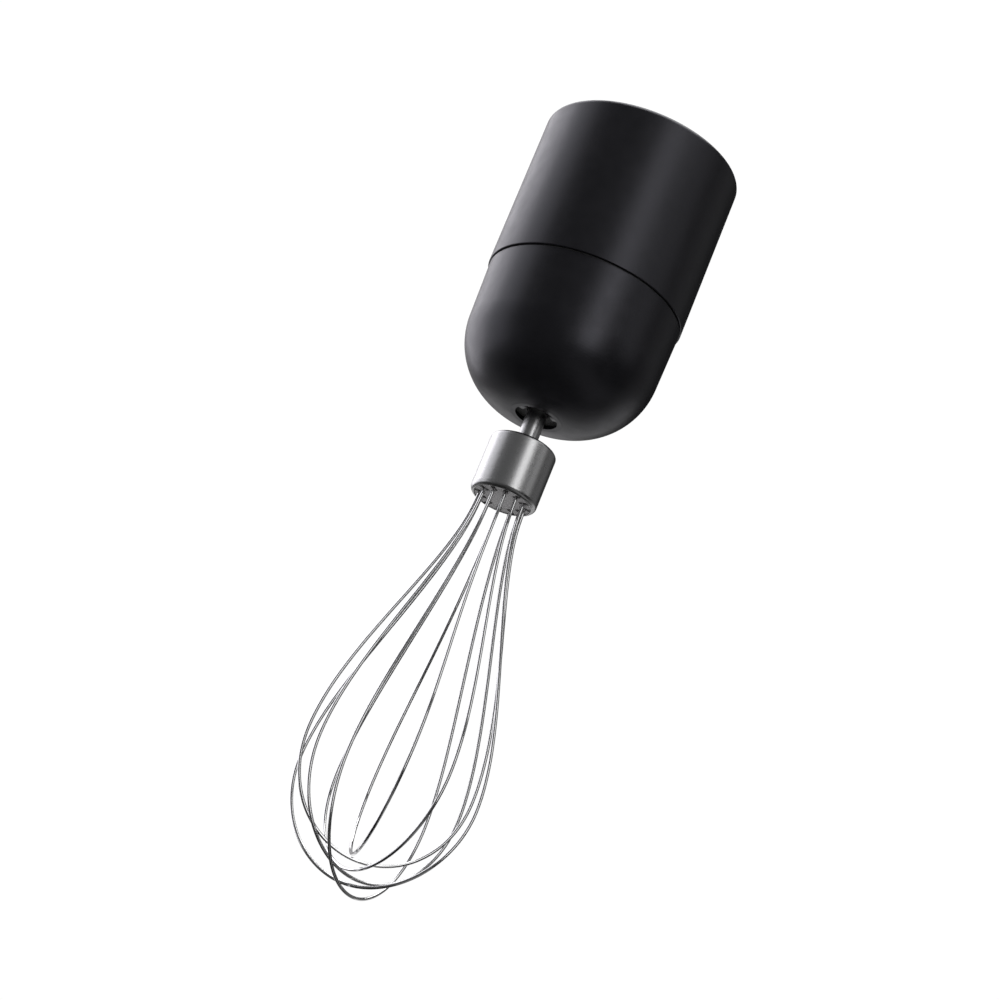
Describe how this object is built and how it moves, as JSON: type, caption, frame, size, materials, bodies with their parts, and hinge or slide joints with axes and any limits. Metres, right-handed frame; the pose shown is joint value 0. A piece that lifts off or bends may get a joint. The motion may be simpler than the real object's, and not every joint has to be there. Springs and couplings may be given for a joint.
{
  "type": "hand mixer whisk attachment",
  "caption": "Balloon whisk on a domed planetary gearbox with an open coupling collar that clips onto a hand mixer's motor handle.",
  "frame": {"origin": "centre of the coupling collar's rim, where the motor handle enters", "axes": "+Z along the axis of rotation, up towards the motor handle; the whisk hangs along -Z; -Y is the side that the picture was taken from"},
  "size_m": [0.0622, 0.0622, 0.2491],
  "materials": {
    "black_plastic": "satin moulded",
    "inner_plastic": "plain moulded",
    "black_rubber": "soft",
    "grey_plastic": "satin moulded",
    "white_nylon": "natural moulded",
    "brushed_steel": "turned and brushed",
    "bright_wire": "drawn and polished",
    "bronze": "sintered",
    "dark_steel": "oiled",
    "felt": "pressed felt"
  },
  "bodies": {
    "housing": {"coupling_collar": "black_plastic", "gearbox_dome": "black_plastic", "seam_gasket": "black_rubber", "gearbox_cover": "inner_plastic", "cover_screws": "dark_steel", "ring_gear": "white_nylon", "input_bush": "bronze", "input_seal": "black_rubber", "output_bush": "bronze", "thrust_washer": "dark_steel", "nose_seal": "felt"},
    "input": {"sun_gear": "dark_steel", "drive_coupling": "inner_plastic", "input_clip": "dark_steel"},
    "carrier": {"planet_carrier": "dark_steel", "carrier_plate": "dark_steel", "planet_pins": "dark_steel", "spindle_clip": "dark_steel", "snap_ring": "dark_steel"},
    "planet_1": {"planet_gear_1": "white_nylon"},
    "planet_2": {"planet_gear_2": "white_nylon"},
    "planet_3": {"planet_gear_3": "white_nylon"},
    "whisk": {"whisk_shaft": "brushed_steel", "ferrule": "brushed_steel", "wire_holder": "grey_plastic", "whisk_wire_1": "bright_wire", "whisk_wire_2": "bright_wire", "whisk_wire_3": "bright_wire", "whisk_wire_4": "bright_wire", "whisk_wire_5": "bright_wire", "whisk_wire_6": "bright_wire"}
  },
  "joints": [
    {"name": "whisk_spin", "type": "hinge", "parent": "housing", "child": "carrier", "pos_m": [0, 0, -0.078], "axis": [0, 0, 1], "continuous": true},
    {"name": "input_spin", "type": "hinge", "parent": "housing", "child": "input", "pos_m": [0, 0, -0.048], "axis": [0, 0, 1], "continuous": true},
    {"name": "planet_1_spin", "type": "hinge", "parent": "carrier", "child": "planet_1", "pos_m": [0, 0.012, -0.0604], "axis": [0, 0, 1], "continuous": true},
    {"name": "planet_2_spin", "type": "hinge", "parent": "carrier", "child": "planet_2", "pos_m": [-0.01039, -0.006, -0.0604], "axis": [0, 0, 1], "continuous": true},
    {"name": "planet_3_spin", "type": "hinge", "parent": "carrier", "child": "planet_3", "pos_m": [0.01039, -0.006, -0.0604], "axis": [0, 0, 1], "continuous": true},
    {"name": "whisk_pull", "type": "slide", "parent": "carrier", "child": "whisk", "axis": [0, 0, -1], "range_m": [0, 0.03]}
  ],
  "couplings": [
    {"joint": "input_spin", "follows": "whisk_spin", "ratio": 5},
    {"joint": "planet_1_spin", "follows": "whisk_spin", "ratio": -2.6667},
    {"joint": "planet_2_spin", "follows": "whisk_spin", "ratio": -2.6667},
    {"joint": "planet_3_spin", "follows": "whisk_spin", "ratio": -2.6667}
  ]
}
